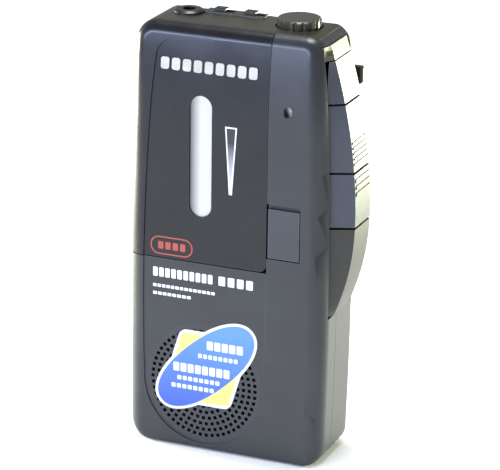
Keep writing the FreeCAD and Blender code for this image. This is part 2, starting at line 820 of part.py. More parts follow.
pause_cap = block(("pause_face", "pause_proud"), ("pause_depth - 0.95", "pause_depth + 0.95"),
                  ("pause_up - 2.4", "pause_up + 2.4"))
pause_stem = block(("pause_face - 3", "pause_face + 0.1"), ("pause_depth - 0.4", "pause_depth + 0.4"),
                   ("pause_up - 1.2", "pause_up + 1.2"))
doc.recompute()
pause_round = doc.addObject("Part::Fillet", "PauseRounded")
pause_round.Base = pause_cap
pause_round.Edges = [(number, 0.85, 0.85) for number, edge in enumerate(pause_cap.Shape.Edges, 1)
                     if edge.BoundBox.XMin > size("pause_proud") - 0.01]
node(fuse(pause_round, pause_stem), "pause_slider")

# ---------------------------------------------------------------------------------------------
# Lid
# ---------------------------------------------------------------------------------------------


def long_hole(radius, y):
    """A round-ended upright slot at the window, between two depths."""
    x, low, high = size("window_across"), size("window_low"), size("window_high")
    straight = solid_box((x - radius, x + radius), y, (low, high))
    return straight.fuse([through(radius, x, y, low), through(radius, x, y, high)])


def lid_shell():
    """Lid over the cassette: wraps the left and top edges and turns on pins at its left edge."""
    zone = solid_box((-FAR, size("lid_right")), (-FAR, size("lid_back")), (size("lid_foot"), FAR * 2))
    shell = styled_skin.cut(lid_cavity).common(zone)
    barrel = upright(1.15, *HINGE, (size("lid_foot") + 0.4, KNUCKLES[1][1] + 4.5)).common(skin)
    shell = shell.fuse(barrel)
    foot_rib = solid_box((-28.0, size("lid_right") - 0.5), (FRONT + 1.4, FRONT + 2.4),
                         (size("lid_foot"), size("lid_foot") + 1.2)).common(skin)
    shell = shell.fuse(foot_rib)
    tools = []
    for low, high in KNUCKLES:
        tools.append(solid_box((-FAR, HINGE[0] + 1.5), (HINGE[1] - 1.35, FAR), (low - 0.3, high + 0.3)))
        tools.append(upright(size("hinge_pin_radius") + 0.05, *HINGE, (low - 3.2, high + 3.2)))
    tools.append(long_hole(size("window_radius"), (FRONT - 1, FRONT + 4)))
    corner = solid_box((size("lid_right") - 2.0, FAR), (-FAR, FAR), (0, size("lid_foot") + 2.0))
    corner = corner.cut(through(2.0, size("lid_right") - 2.0, (-FAR, FAR), size("lid_foot") + 2.0))
    tools.append(corner)
    made = shell.cut(tools)
    return max(made.Solids, key=lambda part: part.Volume)


node(feature(lid_shell()), "lid_shell")
window = long_hole(size("window_radius") - 0.05, (FRONT + 0.9, FRONT + 1.9))
node(feature(window), "lid_window")
badge_bar = solid_box((size("badge_left"), size("badge_right")), (FRONT - 1, FRONT + 3),
                      (size("badge_low"), size("badge_high")))
node(feature(skin.cut(panel_floor).common(badge_bar)), "nameplate")
leaf = block(("-24", "1"), ("tape_front - 0.62", "tape_front - 0.4"), ("104.5", "107.5"))
node(leaf, "lid_spring")

hinge_pins = []
for low, high in KNUCKLES:
    hinge_pins.append(rod("hinge_pin_radius", f"{high - low + 5.6}",
                          ("hinge_across", "hinge_depth", f"{low - 2.8}")))
hinge_pins.append(rod("hinge_pin_radius", "3.4", ("door_left - 1.4", "door_pivot_depth",
                                                  "door_pivot_up"), "right"))
hinge_pins.append(rod("hinge_pin_radius", "4.4", ("door_right - 2", "door_pivot_depth",
                                                  "door_pivot_up"), "right"))
node(group(*hinge_pins), "hinge_pins")

opener_plate = block(("opener_left", "opener_right"), ("-case_depth / 2 + 0.1", "-case_depth / 2 + 1.1"),
                     ("opener_low", "opener_high"))
opener_stem = block(("opener_left + 1.1", "opener_left + 4.1"),
                    ("-case_depth / 2 + 0.8", "-case_depth / 2 + 2.6"),
                    ("opener_low + 4", "opener_low + 10"))
node(fuse(opener_plate, opener_stem), "lid_opener")

# ---------------------------------------------------------------------------------------------
# Top controls and jacks
# ---------------------------------------------------------------------------------------------

dial = turned("volume_dial", [
    ("0", "0"), ("1.5", "0"), ("1.5", "6.4"), ("dial_radius", "6.4"),
    ("dial_radius", "dial_top - case_height + 7.6"), ("dial_radius - 0.5", "dial_top - case_height + 8"),
    ("0", "dial_top - case_height + 8"),
], ("dial_across", "dial_depth", "case_height - 8"))
flute = sketch_on(dial, "XY_Plane", "dial_top - case_height + 8")
circle(flute, "dial_radius + 0.35", "0", "0.75")
flute_cut = dial.newObject("PartDesign::Pocket", "Flute")
flute_cut.Profile = flute
bind(flute_cut, "Length", "dial_top - case_height + 8 - 6.4")
polar(dial, flute_cut, 18)
node(dial, "volume_dial")

pot = turned("volume_pot", [
    ("1.55", "0"), ("6.2", "0"), ("6.2", "5"), ("3", "5"), ("3", "6.6"), ("1.55", "6.6"),
], ("dial_across", "dial_depth", "case_height - 9.4"))
node(pot, "volume_pot")

KNOB_ROUND = 0.35
for knob, across in (("speed_knob", "speed_knob_across"), ("voice_knob", "voice_knob_across")):
    cap = block((f"{across} - 1.7", f"{across} + 1.7"), ("knob_depth - 1.4", "knob_depth + 1.4"),
                ("bezel_top + 0.1", "bezel_top + 0.9"))
    doc.recompute()
    edge_round = doc.addObject("Part::Fillet", "KnobRounded")
    edge_round.Base = cap
    edge_round.Edges = [(number, KNOB_ROUND, KNOB_ROUND) for number, edge in enumerate(cap.Shape.Edges, 1)
                        if edge.BoundBox.ZMin > size("bezel_top") + 0.8]
    shank = block((f"{across} - 0.8", f"{across} + 0.8"), ("knob_depth - 0.7", "knob_depth + 0.7"),
                  ("case_height - 2.4", "bezel_top + 0.3"))
    node(fuse(edge_round, shank), knob)

bodies = []
for across in ("speed_knob_across", "voice_knob_across"):
    bodies.append(block((f"{across} - 4", f"{across} + 5"), ("knob_depth - 2.6", "knob_depth + 2.2"),
                        ("case_height - 7", "case_height - 2.6")))
node(group(*bodies), "switch_bodies")

BARREL = [
    ("plug_radius", "0"), ("jack_radius", "0"), ("jack_radius", "-14"), ("0", "-14"), ("0", "-12"),
    ("plug_radius", "-12"),
]
earphone = turned("earphone_jack", [
    ("plug_radius", "0.9"), ("3.5", "0.9"), ("4.2", "0.45"), ("4.2", "0.02"), *BARREL[1:],
], ("earphone_across", "earphone_depth", "case_height"))
node(earphone, "earphone_jack")
for jack in ("microphone_jack", "power_jack"):
    made = turned(jack, BARREL, ("case_left + 0.1", "side_jack_depth", f"{jack}_up"), "left")
    node(made, jack)

# ---------------------------------------------------------------------------------------------
# Loudspeaker and microphone
# ---------------------------------------------------------------------------------------------

SPEAKER_AT = ("speaker_across", "-4.7", "speaker_up")
node(turned("speaker_frame", [
    ("8.2", "1"), ("9", "1"), ("15", "4"), ("17.2", "4"), ("17.2", "5.4"), ("15.7", "5.4"),
    ("15.7", "4.6"), ("8.6", "1.7"), ("8.2", "1.7"),
], SPEAKER_AT, "front"), "speaker_frame")
node(turned("speaker_magnet", rectangle("0", "8.1", "0", "2.6"), SPEAKER_AT, "front"), "speaker_magnet")
node(turned("speaker_cone", [
    ("0", "3.8"), ("4", "3.0"), ("14", "4.75"), ("15.5", "4.75"), ("15.5", "5"), ("13.9", "5"),
    ("4", "3.3"), ("0", "4.1"),
], SPEAKER_AT, "front"), "speaker_cone")
node(rod("grille_radius + 0.1", "0.12", ("speaker_across", "-10.28", "speaker_up"), "front"), "grille_cloth")
node(rod("2.2", "2.6", ("mic_across", "-7.4", "mic_up"), "front"), "microphone_capsule")
node(turned("microphone_boot", rectangle("2.25", "2.85", "0", "4"), ("mic_across", "-6.3", "mic_up"),
            "front"), "microphone_boot")

# ---------------------------------------------------------------------------------------------
# Cells, their contacts and their door
# ---------------------------------------------------------------------------------------------

cells = []
CELL_NAMES = ("left_cell_across", "right_cell_across")
for across in CELL_NAMES:
    can = rod("cell_radius", "cell_length - 1.4", (across, "cell_depth", "cell_low"))
    button = rod("2.7", "1.6", (across, "cell_depth", "cell_low + cell_length - 1.6"))
    cells.append(fuse(can, button))
node(group(*cells), "battery_cells")


def contact_leaf(across):
    """A cell's foot contact: a sprung strip bowed up from the case's floor to the cell's end."""
    floor, crown = size("wall_thick") + 0.1, size("cell_low") - 0.1
    thick, half, feet = 0.3, 3.4, 2.2
    middle, depth = size(across), size("cell_depth")

    def bow(reach, top):
        ends = [Vector(middle + side * reach, depth - feet, floor) for side in (-1, 1)]
        return arc(ends[0], Vector(middle, depth - feet, top), ends[1])

    outer, inner = bow(half, crown), bow(half - thick, crown - thick)
    feet_lines = [line(outer.Vertexes[k].Point, inner.Vertexes[k].Point) for k in (0, 1)]
    return Part.Face(Part.Wire(Part.__sortEdges__([outer, inner, *feet_lines]))).extrude(Vector(0, 2 * feet, 0))


strip = block(("left_cell_across - 4", "right_cell_across + 4"), ("cell_depth - 3", "cell_depth + 3"),
              ("cell_low + cell_length + 0.1", "cell_low + cell_length + 0.5"), "ContactStrip")
node(group(strip, *[feature(contact_leaf(across)) for across in CELL_NAMES]), "battery_contacts")


def battery_door():
    """Door over the cells: part of the rear skin, hinged along its foot."""
    door_box = solid_box((size("door_left"), size("door_right")), (REAR - 1.5, REAR + 1),
                         (size("door_low"), size("door_high")))
    door = skin.common(door_box)
    pivot = Vector(size("door_left"), size("door_pivot_depth"), size("door_pivot_up"))
    across = size("door_right") - size("door_left")
    door = door.fuse(Part.makeCylinder(0.8, across, pivot, Vector(1, 0, 0)))
    grips = [solid_box((-22.0, -7.0), (REAR - 0.5, REAR + 1), (level, level + 0.9))
             for level in (46.0, 47.8, 49.6)]
    bore = Part.makeCylinder(size("hinge_pin_radius") + 0.05, across + 2, pivot - Vector(1, 0, 0),
                             Vector(1, 0, 0))
    return door.cut([*grips, bore])


node(feature(battery_door()), "battery_door")

# ---------------------------------------------------------------------------------------------
# Microcassette
# ---------------------------------------------------------------------------------------------


def cassette_shell():
    """Microcassette housing: a thin box open where the heads, roller and spindles enter."""
    x = (size("tape_left"), size("tape_right"))
    y = (size("tape_front"), size("tape_back"))
    z = (size("tape_low"), size("tape_high"))
    wall = size("tape_wall")
    shell = solid_box(x, y, z)
    shell = shell.makeFillet(1.5, [edge for edge in shell.Edges
                                   if abs(edge.CenterOfMass.y - sum(y) / 2) < 0.1])
    inner = solid_box((x[0] + wall, x[1] - wall), (y[0] + wall, y[1] - wall), (z[0] + wall, z[1] - wall))
    tools = [inner]
    for level in (size("take_up_up"), size("supply_up")):
        tools.append(through(3.3, size("reel_across"), (y[0] - 1, y[1] + 1), level))
    tools.append(through(1.3, size("capstan_across"), (y[0] - 1, y[1] + 1), size("capstan_up")))
    for low, high in ((65.2, 73.8), (80.5, 90.0), (92.6, 98.6)):
        tools.append(solid_box((x[1] - wall - 0.1, x[1] + 1), (y[0] + wall, y[1] - wall), (low, high)))
    tools.append(solid_box((-14.3, -8.3), (y[0] - 1, y[0] + wall + 0.1), (80.0, 92.0)))
    return shell.cut(tools)


node(feature(cassette_shell()), "cassette_shell")
corners_x = ("tape_left + 2.2", "tape_right - 2.2")
corners_z = ("tape_low + 2.2", "tape_high - 2.2")
screws = [rod("0.8", "0.25", (x, "tape_front - 0.02", z), "front") for x in corners_x for z in corners_z]
node(group(*screws), "cassette_screws")

SPINDLE_PROFILE = [
    ("0", "0"), ("turntable_radius", "0"), ("turntable_radius", "1.8"), ("1.4", "1.8"), ("1.4", "3.9"),
    ("1.9", "3.9"), ("1.9", "9.6"), ("1.2", "10.6"), ("0", "10.6"),
]
for reel, level in (("take_up", "take_up_up"), ("supply", "supply_up")):
    spindle = turned(f"{reel}_spindle", SPINDLE_PROFILE, ("reel_across", "2.3", level), "front")
    vane = sketch_on(spindle, "XY_Plane", "4.6")
    polygon(vane, [("1.5", "-0.35"), ("2.35", "-0.35"), ("2.35", "0.35"), ("1.5", "0.35")])
    vane_pad = spindle.newObject("PartDesign::Pad", "Vane")
    vane_pad.Profile = vane
    vane_pad.Length = 4.6
    polar(spindle, vane_pad, 6)
    node(spindle, f"{reel}_spindle")
    node(turned(f"{reel}_hub", rectangle("2.6", "hub_radius", "0", "5.2"),
                ("reel_across", "tape_back - tape_wall - 0.2", level), "front"), f"{reel}_hub")
    node(turned(f"{reel}_tape", rectangle("hub_radius + 0.02", f"{reel}_pack", "0", "3.8"),
                ("reel_across", "tape_back - tape_wall - 0.9", level), "front"), f"{reel}_tape")

# ---------------------------------------------------------------------------------------------
# Mechanism
# ---------------------------------------------------------------------------------------------

CHASSIS = [
    ("-29", "57.4"), ("6.4", "57.4"), ("6.4", "38.5"), ("20.6", "38.5"), ("20.6", "98"), ("14.5", "98"),
    ("14.5", "111"), ("-29", "111"),
]
chassis = plate("ChassisSheet", CHASSIS, "plate_front", "plate_back", [
    ("reel_across", "take_up_up", "2.2"), ("reel_across", "supply_up", "2.2"),
    ("capstan_across", "capstan_up", "2.25"), ("motor_across", "motor_up", "3"),
])
bushes = [turned("SpindleBush", rectangle("1.46", "2.15", "0", "1"), ("reel_across", "0", level), "front")
          for level in ("take_up_up", "supply_up")]
bushes.append(turned("CapstanBush", rectangle("capstan_radius + 0.04", "2.2", "0", "1.4"),
                     ("capstan_across", "0.2", "capstan_up"), "front"))
node(group(*bushes), "shaft_bushes")
node(rod("capstan_radius", "12.4", ("capstan_across", "flywheel_back + 0.2", "capstan_up"), "front"),
     "capstan_shaft")
node(turned("flywheel", [
    ("capstan_radius + 0.01", "0"), ("3", "0"), ("3", "0.8"), ("7", "0.8"), ("7", "0"),
    ("flywheel_radius", "0"), ("flywheel_radius", "0.9"), ("flywheel_radius - 0.9", "1.3"),
    ("flywheel_radius - 0.9", "2.1"), ("flywheel_radius", "2.5"), ("flywheel_radius", "3"),
    ("capstan_radius + 0.01", "3"),
], ("capstan_across", "flywheel_back", "capstan_up"), "front"), "flywheel")
node(turned("motor_can", [
    ("0", "9"), ("0", "3.4"), ("0.82", "3.4"), ("0.82", "-0.15"), ("2.4", "-0.15"), ("2.4", "0"),
    ("motor_radius", "0"), ("motor_radius", "8.4"), ("motor_radius - 0.6", "9"),
], ("motor_across", "-1.1", "motor_up"), "front"), "motor_can")
node(turned("motor_pulley", [
    ("0", "0"), ("pulley_radius", "0"), ("pulley_radius", "0.8"), ("pulley_radius - 0.6", "1.2"),
    ("pulley_radius - 0.6", "2"), ("pulley_radius", "2.4"), ("0.75", "2.4"), ("0.75", "6.8"), ("0", "6.8"),
], ("motor_across", "3.1", "motor_up"), "front"), "motor_pulley")


def drive_belt():
    """Rubber belt: two straight runs tangent to the flywheel's groove and the motor pulley's."""
    wheel = Vector(size("capstan_across"), 0, size("capstan_up"))
    motor = Vector(size("motor_across"), 0, size("motor_up"))
    along = motor - wheel
    reach = along.Length
    thick = 0.6

    def loop(grow):
        large = size("flywheel_radius") - 0.9 + size("wheel_gap") + grow
        small = size("pulley_radius") - 0.6 + size("wheel_gap") + grow
        heading = math.atan2(along.z, along.x)
        spread = math.acos((large - small) / reach)

        def at(centre, radius, angle):
            return centre + Vector(radius * math.cos(angle), 0, radius * math.sin(angle))

        up, down = heading + spread, heading - spread
        return Part.Face(Part.Wire([
            line(at(wheel, large, up), at(motor, small, up)),
            arc(at(motor, small, up), at(motor, small, heading), at(motor, small, down)),
            line(at(motor, small, down), at(wheel, large, down)),
            arc(at(wheel, large, down), at(wheel, large, heading + math.pi), at(wheel, large, up)),
        ]))

    belt = loop(thick).cut(loop(0.0)).extrude(Vector(0, thick, 0))
    belt.translate(Vector(0, size("flywheel_back") - 2.0, 0))
    return belt


node(feature(drive_belt()), "drive_belt")

# The idler touches both the flywheel and the take-up turntable, so its centre is where two circles
# cross: one about the capstan and one about the take-up reel.
to_reel = Vector(size("reel_across") - size("capstan_across"), 0, size("take_up_up") - size("capstan_up"))
from_wheel = size("flywheel_radius") + size("idler_radius") + size("wheel_gap")
from_reel = size("turntable_radius") + size("idler_radius") + size("wheel_gap")
share = (to_reel.Length ** 2 + from_wheel ** 2 - from_reel ** 2) / (2 * to_reel.Length)
height = math.sqrt(from_wheel ** 2 - share ** 2)
unit = to_reel / to_reel.Length
idler_across = size("capstan_across") + unit.x * share + unit.z * height
idler_up = size("capstan_up") + unit.z * share - unit.x * height
IDLER = (f"{idler_across:.4f}", f"{idler_up:.4f}")
node(turned("idler_wheel", rectangle("0.65", "idler_radius", "0", "1.6"), (IDLER[0], "2.2", IDLER[1]),
            "front"), "idler_wheel")
idler_post = rod("0.6", "3.3", (IDLER[0], "2.9", IDLER[1]), "front")
node(fuse(chassis, idler_post), "chassis_plate")

HEAD_PLATE = [
    ("7.9", "64"), ("17.6", "64"), ("17.6", "97"), ("13", "97"), ("13", "99"), ("7.9", "99"),
]
steel = plate("HeadPlate", HEAD_PLATE, "-1.6", "-1.05")
slots = sketch_on(steel, "XZ_Plane", "1.6")
for level in ("67.5", "94"):
    polygon(slots, rectangle("14.3", "14.3 + 1.9 + head_travel", f"{level} - 0.9", f"{level} + 0.9"))
slot_cut = steel.newObject("PartDesign::Pocket", "Slots")
slot_cut.Profile = slots
slot_cut.Length = 1.0
post = rod("0.6", "6.9", ("roller_across", "-1.5", "capstan_up"), "front")
node(fuse(steel, post), "head_plate")
node(turned("pinch_roller", rectangle("0.66", "roller_radius", "0", "5"),
            ("roller_across", "-2.8", "capstan_up"), "front"), "pinch_roller")


def head(low, high, front, nose):
    """A tape head: a block with a rounded nose where the tape crosses it, on a foot behind."""
    middle = (low + high) / 2
    bend = (high - low) * 0.75
    back, seat, foot_left = -2.7, -1.65, 8.1
    body = solid_box((nose, nose + 4.6), (front, back), (low, high))
    face = through(bend, nose + bend, (front, back), middle)
    rounded = body.common(face.fuse(solid_box((nose + 1.6, FAR), (front, back), (low, high))))
    return rounded.fuse(solid_box((foot_left, nose + 4.6), (back - 0.1, seat), (low, high)))


node(feature(head(82.2, 88.4, -8.0, 6.6)), "play_head")
node(feature(head(93.4, 97.6, -7.4, 7.0)), "erase_head")

chassis_screws = []
for x, z in (("15.25", "67.5"), ("15.25", "94")):
    screw_head = rod("1.6", "0.5", (x, "-1.7", z), "front")
    shank = rod("0.8", "1.1", (x, "-0.9", z), "front")
    chassis_screws.append(fuse(screw_head, shank))
node(group(*chassis_screws), "chassis_screws")

case_screws = []
for x, z in CASE_SCREWS:
    screw_head = rod("1.9", "1.2", (f"{x}", "case_depth / 2 - 1", f"{z}"), "front")
    shank = rod("screw_radius", "14", (f"{x}", "case_depth / 2 - 2.1", f"{z}"), "front")
    case_screws.append(fuse(screw_head, shank))
node(group(*case_screws), "case_screws")

# ---------------------------------------------------------------------------------------------
# Circuit boards
# ---------------------------------------------------------------------------------------------

main_board = plate("MainBoard", rectangle("-28", "14", "59", "105.5"), "6.4", "7.4")
audio_board = plate("AudioBoard", rectangle("2.5", "20.2", "12.5", "37.5"), "0", "1")
node(group(main_board, audio_board), "circuit_boards")

chips = []
for x, z, wide, tall in ((-22, 66, 9, 9), (-6, 70, 12, 7), (2, 92, 8, 10), (-20, 90, 10, 6)):
    chips.append(block((f"{x}", f"{x + wide}"), ("7.45", "9.2"), (f"{z}", f"{z + tall}")))
chips.append(block(("5", "13"), ("1.05", "3"), ("16", "23")))
node(group(*chips), "board_chips")
capacitors = [rod("2.5", "6", (x, "1.05", z), "rear") for x, z in (("6.5", "31"), ("13", "31"), ("17", "23"))]
node(group(*capacitors), "capacitors")

# ---------------------------------------------------------------------------------------------
# Check and write
# ---------------------------------------------------------------------------------------------

doc.recompute()
failed = [item.Name for item in doc.Objects if {"Invalid", "Error"} & set(item.State)]
for made in nodes:
    if made.Shape.isNull() or not made.Shape.isValid() or not made.Shape.Solids:
        failed.append(made.Label)
if failed:
    raise RuntimeError(f"these objects failed: {failed}")

os.makedirs("parts", exist_ok=True)
for made in nodes:
    made.Shape.exportStep(os.path.join("parts", made.Label + ".step"))
print(len(nodes), "nodes written")
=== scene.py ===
"""Looks of a microcassette dictation machine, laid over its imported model.

The machine stands on its foot: +Z is up, the lid and the loudspeaker face -Y, and the keys
are on the +X side. Everything is in metres; MM turns millimetres into metres.
"""
import math

import bpy
import numpy as np
from mathutils import Matrix, Vector


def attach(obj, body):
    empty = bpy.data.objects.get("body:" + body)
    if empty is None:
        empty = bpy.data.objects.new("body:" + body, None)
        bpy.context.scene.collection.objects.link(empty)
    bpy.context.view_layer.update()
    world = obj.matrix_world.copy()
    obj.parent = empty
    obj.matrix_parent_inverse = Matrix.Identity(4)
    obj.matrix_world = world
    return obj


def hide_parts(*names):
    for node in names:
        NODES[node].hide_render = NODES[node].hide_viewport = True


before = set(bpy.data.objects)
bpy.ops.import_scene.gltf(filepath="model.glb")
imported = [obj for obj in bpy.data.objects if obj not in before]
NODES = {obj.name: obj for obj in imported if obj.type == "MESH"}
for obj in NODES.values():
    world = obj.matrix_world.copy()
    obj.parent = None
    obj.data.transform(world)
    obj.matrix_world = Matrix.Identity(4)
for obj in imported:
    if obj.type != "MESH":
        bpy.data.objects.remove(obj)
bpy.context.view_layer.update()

scene = bpy.context.scene
MM = 0.001

# ---------------------------------------------------------------------------------------------
# Camera
# A long lens looks down at the machine from its front right. It has no shift and no depth of
# field; the whole machine is in view.
# ---------------------------------------------------------------------------------------------

CAMERA_ANGLES = (22.34, 19.29, 0.76)  # azimuth, elevation and roll, in degrees
CAMERA_DISTANCE = 0.7599
CAMERA_LENS = 197.96
SENSOR_WIDTH = 36
CLIP_START = 0.01

azimuth, elevation, roll = (math.radians(angle) for angle in CAMERA_ANGLES)
aim = Vector((-0.00051, 0.0, 0.06125))
towards = Vector((math.sin(azimuth) * math.cos(elevation),
                  -math.cos(azimuth) * math.cos(elevation),
                  math.sin(elevation)))
level_right = (-towards).cross(Vector((0, 0, 1))).normalized()
level_up = level_right.cross(-towards)
right = level_right * math.cos(roll) + level_up * math.sin(roll)
up = level_up * math.cos(roll) - level_right * math.sin(roll)
camera = bpy.data.objects.new("camera", bpy.data.cameras.new("camera"))
scene.collection.objects.link(camera)
camera.data.sensor_width = SENSOR_WIDTH
camera.data.lens = CAMERA_LENS
camera.data.clip_start = CLIP_START
placed = Matrix((right, up, towards)).transposed().to_4x4()
placed.translation = aim + towards * CAMERA_DISTANCE
camera.matrix_world = placed
scene.camera = camera

# ---------------------------------------------------------------------------------------------
# Studio: pale floor, soft sky and four soft lamps
# The floor is a plain matt sheet under a dim white sky. A square lamp hangs above, a wide low
# one stands at the front left, and one on each side lights the rim and the keys.
# ---------------------------------------------------------------------------------------------

SKY_STRENGTH = 0.42
FLOOR_REACH = 3000
FLOOR_GRAIN = 900.0
FLOOR_ROUGHNESS = 0.9
FLOOR_SPECULAR = 0.1


def linear(code):
    """Linear RGBA of an sRGB hex code such as #a0b0c0."""
    shares = [int(code[k:k + 2], 16) / 255 for k in (1, 3, 5)]
    return tuple(share / 12.92 if share <= 0.04045 else ((share + 0.055) / 1.055) ** 2.4
                 for share in shares) + (1.0,)


def add(tree, kind, inputs=(), **settings):
    """Adds a node with its settings; inputs are constants, or other nodes' outputs, by socket."""
    made = tree.nodes.new(kind)
    for name, value in settings.items():
        setattr(made, name, value)
    for name, value in dict(inputs).items():
        if isinstance(value, bpy.types.NodeSocket):
            tree.links.new(value, made.inputs[name])
        else:
            made.inputs[name].default_value = value
    return made


def start_material(name):
    """A new material's tree with only its output and a Principled shader joined to it."""
    material = bpy.data.materials.new(name)
    material.use_nodes = True
    tree = material.node_tree
    tree.nodes.clear()
    shader = add(tree, "ShaderNodeBsdfPrincipled")
    add(tree, "ShaderNodeOutputMaterial", {"Surface": shader.outputs["BSDF"]})
    return material, tree, shader


def bumped(tree, shader, height, distance, strength):
    """Raises a shader's surface by a height socket, over a distance in millimetres."""
    bump = add(tree, "ShaderNodeBump",
               {"Height": height, "Distance": distance * MM, "Strength": strength})
    tree.links.new(bump.outputs["Normal"], shader.inputs["Normal"])


def mesh_piece(name, points, faces, finish):
    """A flat-shaded object at the origin, from points in millimetres, faces and a finish."""
    mesh = bpy.data.meshes.new(name)
    mesh.from_pydata((np.asarray(points, dtype=float) * MM).tolist(), [], faces)
    mesh.polygons.foreach_set("use_smooth", [False] * len(mesh.polygons))
    mesh.update()
    mesh.materials.append(finish)
    piece = bpy.data.objects.new(name, mesh)
    scene.collection.objects.link(piece)
    return piece


world = bpy.data.worlds.new("soft_sky")
scene.world = world
world.use_nodes = True
sky = world.node_tree.nodes["Background"]
sky.inputs["Color"].default_value = linear("#f7f9ff")
sky.inputs["Strength"].default_value = SKY_STRENGTH

floor_finish, tree, shader = start_material("matt_paper")
floor_grain = add(tree, "ShaderNodeTexNoise", {"Scale": FLOOR_GRAIN, "Detail": 3.0})
bumped(tree, shader, floor_grain.outputs["Fac"], 0.02, 0.2)
shader.inputs["Base Color"].default_value = linear("#fbfbfa")
shader.inputs["Roughness"].default_value = FLOOR_ROUGHNESS
shader.inputs["Specular IOR Level"].default_value = FLOOR_SPECULAR
floor_corners = [(x * FLOOR_REACH, y * FLOOR_REACH, 0)
                 for x, y in ((-1, -1), (1, -1), (1, 1), (-1, 1))]
floor = mesh_piece("floor", floor_corners, [(0, 1, 2, 3)], floor_finish)

LAMPS = (  # name, place, width, height, watts, colour
    ("lamp_above", (0.0, 0.05, 0.9), 0.4, 0.4, 8.0, "#f4f7ff"),
    ("lamp_front", (-0.4, -0.9, 0.3), 0.7, 0.14, 9.0, "#c6d6ff"),
    ("lamp_left", (-0.45, 0.06, 0.06), 0.24, 0.12, 9.0, "#f0f0d8"),
    ("lamp_right", (0.3, 0.4, 0.05), 0.3, 0.1, 6.0, "#eef2cc"),
)
for name, place, width, height, watts, colour in LAMPS:
    lamp = bpy.data.lights.new(name, "AREA")
    lamp.shape = "RECTANGLE"
    lamp.size = width
    lamp.size_y = height
    lamp.energy = watts
    lamp.color = linear(colour)[:3]
    holder = bpy.data.objects.new(name, lamp)
    scene.collection.objects.link(holder)
    holder.location = place
    holder.rotation_euler = (aim - Vector(place)).to_track_quat("-Z", "Y").to_euler()
scene.view_settings.view_transform = "Standard"

# ---------------------------------------------------------------------------------------------
# Case: front cover, rear cover, speaker grille, key frame and battery door
# Charcoal ABS, moulded in a spark-eroded tool that leaves a fine even grain. Handling polishes
# the outer edges a little paler, and dust gives the faces a faint uneven tone.
# ---------------------------------------------------------------------------------------------

WORN_WIDTH = 0.35
MOTTLE_SIZE = 14.0
MOTTLE_SHARE = 0.07


def mapped(tree, grain, stretch=(1.0, 1.0, 1.0)):
    """Object coordinates scaled so that one pattern cell is the given number of millimetres."""
    place = add(tree, "ShaderNodeTexCoord").outputs["Object"]
    scale = [share / (grain * MM) for share in stretch]
    return add(tree, "ShaderNodeMapping", {"Vector": place, "Scale": scale}).outputs["Vector"]


def noise(tree, place, detail):
    """Noise of unit scale at a place socket."""
    return add(tree, "ShaderNodeTexNoise",
               {"Vector": place, "Scale": 1.0, "Detail": detail}).outputs["Fac"]


def ranged(tree, value, start=0.0, end=1.0, low=0.0, high=1.0):
    """A value socket carried from start..end to low..high."""
    return add(tree, "ShaderNodeMapRange",
               {"Value": value, "From Min": start, "From Max": end,
                "To Min": low, "To Max": high}).outputs["Result"]


def tint(tree, shader, share, first, second):
    """Base colour between two hex codes, by a share socket."""
    mixed = add(tree, "ShaderNodeMix", {0: share, 6: linear(first), 7: linear(second)},
                data_type="RGBA")
    tree.links.new(mixed.outputs[2], shader.inputs["Base Color"])


def tint_along(tree, shader, axis, start, end, first, second):
    """Base colour that runs between two hex codes along an axis, in millimetres."""
    place = add(tree, "ShaderNodeTexCoord").outputs["Object"]
    split = add(tree, "ShaderNodeSeparateXYZ", {"Vector": place})
    share = ranged(tree, split.outputs[axis], start * MM, end * MM)
    tint(tree, shader, share, first, second)


def worn_edges(tree):
    """1 along outer edges, 0 on the faces."""
    rounded = add(tree, "ShaderNodeBevel", {"Radius": WORN_WIDTH * MM}, samples=4)
    true = add(tree, "ShaderNodeNewGeometry")
    match = add(tree, "ShaderNodeVectorMath",
                {0: rounded.outputs["Normal"], 1: true.outputs["Normal"]},
                operation="DOT_PRODUCT")
    return ranged(tree, match.outputs["Value"], 0.995, 0.86)


def moulded(name, colour, paler, roughness, grain=0.16, depth=0.004, wear=0.35, specular=0.5):
    """Moulded plastic: grained, slightly mottled, and paler on its edges."""
    material, tree, shader = start_material(name)
    fine = noise(tree, mapped(tree, grain), 2.0)
    broad = noise(tree, mapped(tree, MOTTLE_SIZE), 4.0)
    dusty = ranged(tree, broad, 0.3, 0.7, 0.0, MOTTLE_SHARE)
    worn = add(tree, "ShaderNodeMath", {0: worn_edges(tree), 1: wear}, operation="MULTIPLY")
    share = add(tree, "ShaderNodeMath", {0: dusty, 1: worn.outputs["Value"]},
                operation="ADD", use_clamp=True)
    tint(tree, shader, share.outputs["Value"], colour, paler)
    gloss = ranged(tree, broad, 0.3, 0.7, roughness - 0.04, roughness + 0.05)
    tree.links.new(gloss, shader.inputs["Roughness"])
    bumped(tree, shader, fine, depth, 0.6)
    shader.inputs["Specular IOR Level"].default_value = specular
    return material


def wear_on(nodes, material):
    """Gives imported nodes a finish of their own."""
    for name in nodes:
        mesh = NODES[name].data
        mesh.materials.clear()
        mesh.materials.append(material)


case_abs = moulded("moulded_abs_charcoal", "#292b2d", "#626568", 0.33)
wear_on(("front_cover", "rear_cover", "battery_door"), case_abs)
wear_on(("speaker_grille",), moulded("moulded_abs_grille", "#2f3033", "#606266", 0.45, wear=0.2))
wear_on(("key_frame",), moulded("moulded_abs_frame", "#2c2b27", "#66665c", 0.4))

# ---------------------------------------------------------------------------------------------
# Lid and lid opener
# The lid is the same ABS in a darker, finer grain. The opener is a loose slider, moulded a
# little paler than the case.
# ---------------------------------------------------------------------------------------------

lid_abs = moulded("moulded_abs_lid", "#131417", "#494c52", 0.28, grain=0.12, specular=0.4)
wear_on(("lid_shell",), lid_abs)
wear_on(("lid_opener",), moulded("moulded_abs_opener", "#36383d", "#74777c", 0.42))

